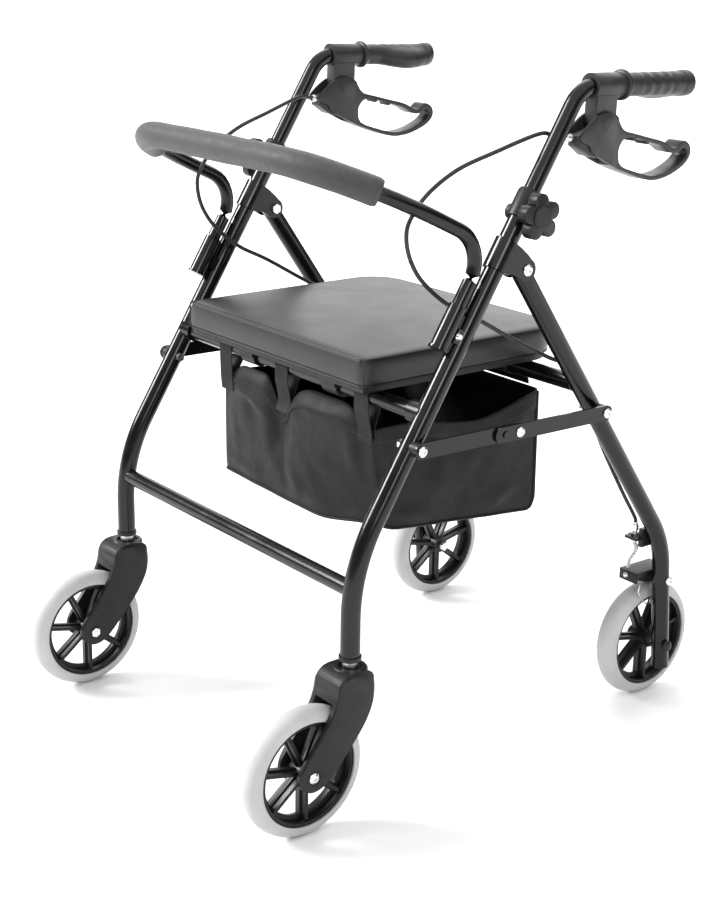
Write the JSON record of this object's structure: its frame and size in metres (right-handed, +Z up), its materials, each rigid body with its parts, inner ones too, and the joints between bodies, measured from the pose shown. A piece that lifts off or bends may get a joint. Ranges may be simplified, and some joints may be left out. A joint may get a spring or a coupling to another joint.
{
  "type": "rollator walker",
  "caption": "Folding wheeled walker with padded seat, curved back bar, under-seat bag, swivelling front casters, adjustable handles and loop brakes.",
  "frame": {"origin": "on the ground, under the middle of the whole part's box", "axes": "+Z up, -Y the direction of travel, +X to the left of a user walking behind it"},
  "size_m": [0.546, 0.717, 0.7999],
  "materials": {
    "frame_paint": "gloss black powder coat",
    "black_plastic": "satin moulded plastic",
    "lever_plastic": "satin moulded plastic",
    "hub_plastic": "satin moulded plastic",
    "tyre_grey": "smooth light grey",
    "bright_steel": "zinc plated",
    "cable_black": "satin cable cover",
    "grip_rubber": "soft satin rubber",
    "foam_grey": "closed cell foam",
    "seat_vinyl": "soft matte vinyl",
    "bag_fabric": "woven nylon"
  },
  "bodies": {
    "frame": {"main_tube_left": "frame_paint", "main_tube_right": "frame_paint", "front_crossbar": "frame_paint", "seat_crossbar": "frame_paint", "tube_collars": "black_plastic", "hinge_brackets": "frame_paint", "backrest_sockets": "frame_paint", "caster_caps": "black_plastic", "caster_stems": "bright_steel", "frame_bolts": "bright_steel", "link_spacers_front": "black_plastic", "brake_cable_left": "cable_black", "brake_cable_right": "cable_black", "bag": "bag_fabric", "bag_straps": "bag_fabric"},
    "rear_frame": {"rear_leg_left": "frame_paint", "rear_leg_right": "frame_paint", "rear_crossbar": "frame_paint", "rear_bolts": "bright_steel", "link_spacers_rear": "black_plastic", "cable_brackets": "black_plastic", "cable_adjusters": "bright_steel", "brake_springs": "bright_steel", "bag_rear_sleeve": "bag_fabric"},
    "front_links": {"front_links": "frame_paint"},
    "rear_links": {"rear_links": "frame_paint", "link_rivets": "bright_steel"},
    "seat": {"seat_cushion": "seat_vinyl", "seat_base": "black_plastic", "seat_clips": "black_plastic"},
    "backrest": {"backrest_tube": "frame_paint", "backrest_foam": "foam_grey"},
    "caster_left": {"fork_left": "black_plastic", "axle_front_left": "bright_steel"},
    "front_wheel_left": {"hub_front_left": "hub_plastic", "tyre_front_left": "tyre_grey"},
    "rear_wheel_left": {"hub_rear_left": "hub_plastic", "tyre_rear_left": "tyre_grey"},
    "handle_left": {"handle_tube_left": "frame_paint", "grip_left": "grip_rubber", "brake_housing_left": "lever_plastic", "brake_hardware_left": "bright_steel"},
    "lever_left": {"brake_lever_left": "lever_plastic"},
    "knob_left": {"knob_left": "black_plastic"},
    "brake_arm_left": {"brake_arm_left": "black_plastic"},
    "caster_right": {"fork_right": "black_plastic", "axle_front_right": "bright_steel"},
    "front_wheel_right": {"hub_front_right": "hub_plastic", "tyre_front_right": "tyre_grey"},
    "rear_wheel_right": {"hub_rear_right": "hub_plastic", "tyre_rear_right": "tyre_grey"},
    "handle_right": {"handle_tube_right": "frame_paint", "grip_right": "grip_rubber", "brake_housing_right": "lever_plastic", "brake_hardware_right": "bright_steel"},
    "lever_right": {"brake_lever_right": "lever_plastic"},
    "knob_right": {"knob_right": "black_plastic"},
    "brake_arm_right": {"brake_arm_right": "black_plastic"}
  },
  "joints": [
    {"name": "fold", "type": "hinge", "parent": "frame", "child": "rear_frame", "pos_m": [0, 0.005, 0.594], "axis": [-1, 0, 0], "range_deg": [0, 36], "deforming": ["brake_cable_left", "brake_cable_right", "bag_rear_sleeve"]},
    {"name": "front_link_turn", "type": "hinge", "parent": "frame", "child": "front_links", "pos_m": [0, -0.1425, 0.417], "axis": [1, 0, 0], "range_deg": [0, 40.5]},
    {"name": "rear_link_turn", "type": "hinge", "parent": "rear_frame", "child": "rear_links", "pos_m": [0, 0.1329, 0.41402], "axis": [-1, 0, 0], "range_deg": [0, 37.8]},
    {"name": "seat_flip", "type": "hinge", "parent": "frame", "child": "seat", "pos_m": [0, -0.1226, 0.449], "axis": [1, 0, 0], "range_deg": [0, 80]},
    {"name": "caster_swivel_left", "type": "hinge", "parent": "frame", "child": "caster_left", "pos_m": [0.2365, -0.219, 0.17], "axis": [0, 0, 1], "continuous": true},
    {"name": "front_wheel_left_spin", "type": "hinge", "parent": "caster_left", "child": "front_wheel_left", "pos_m": [0.2365, -0.2825, 0.076], "axis": [1, 0, 0], "continuous": true},
    {"name": "rear_wheel_left_spin", "type": "hinge", "parent": "rear_frame", "child": "rear_wheel_left", "pos_m": [0.2065, 0.2825, 0.076], "axis": [1, 0, 0], "continuous": true},
    {"name": "handle_height_left", "type": "slide", "parent": "frame", "child": "handle_left", "axis": [0, 0.5277, 0.8494], "range_m": [0, 0.15], "deforming": ["brake_cable_left"]},
    {"name": "lever_left_squeeze", "type": "hinge", "parent": "handle_left", "child": "lever_left", "pos_m": [0.23523, 0.11875, 0.74462], "axis": [0.9993, 0.0384, 0], "range_deg": [-18, 15], "stiffness_Nm_per_rad": 3},
    {"name": "brake_arm_left_turn", "type": "hinge", "parent": "rear_frame", "child": "brake_arm_left", "pos_m": [0.223, 0.279, 0.166], "axis": [1, 0, 0], "range_deg": [-5, 6], "deforming": ["brake_springs"]},
    {"name": "knob_left_turn", "type": "hinge", "parent": "frame", "child": "knob_left", "pos_m": [0.2365, 0.00473, 0.65399], "axis": [1, 0, 0], "range_deg": [0, 360]},
    {"name": "caster_swivel_right", "type": "hinge", "parent": "frame", "child": "caster_right", "pos_m": [-0.2365, -0.219, 0.17], "axis": [0, 0, 1], "continuous": true},
    {"name": "front_wheel_right_spin", "type": "hinge", "parent": "caster_right", "child": "front_wheel_right", "pos_m": [-0.2365, -0.2825, 0.076], "axis": [1, 0, 0], "continuous": true},
    {"name": "rear_wheel_right_spin", "type": "hinge", "parent": "rear_frame", "child": "rear_wheel_right", "pos_m": [-0.2065, 0.2825, 0.076], "axis": [1, 0, 0], "continuous": true},
    {"name": "handle_height_right", "type": "slide", "parent": "frame", "child": "handle_right", "axis": [0, 0.5277, 0.8494], "range_m": [0, 0.15], "deforming": ["brake_cable_right"]},
    {"name": "lever_right_squeeze", "type": "hinge", "parent": "handle_right", "child": "lever_right", "pos_m": [-0.23523, 0.11875, 0.74462], "axis": [0.9993, -0.0384, 0], "range_deg": [-18, 15], "stiffness_Nm_per_rad": 3},
    {"name": "brake_arm_right_turn", "type": "hinge", "parent": "rear_frame", "child": "brake_arm_right", "pos_m": [-0.223, 0.279, 0.166], "axis": [1, 0, 0], "range_deg": [-5, 6], "deforming": ["brake_springs"]},
    {"name": "knob_right_turn", "type": "hinge", "parent": "frame", "child": "knob_right", "pos_m": [-0.2365, 0.00473, 0.65399], "axis": [1, 0, 0], "range_deg": [0, 360]},
    {"name": "backrest_lift", "type": "slide", "parent": "frame", "child": "backrest", "axis": [0, 0.5277, 0.8494], "range_m": [0, 0.08]}
  ],
  "couplings": [
    {"joint": "front_link_turn", "follows": "fold", "ratio": 1.1092},
    {"joint": "rear_link_turn", "follows": "fold", "ratio": 1.0348},
    {"joint": "brake_arm_left_turn", "follows": "lever_left_squeeze", "ratio": -0.33333},
    {"joint": "brake_arm_right_turn", "follows": "lever_right_squeeze", "ratio": -0.33333}
  ]
}
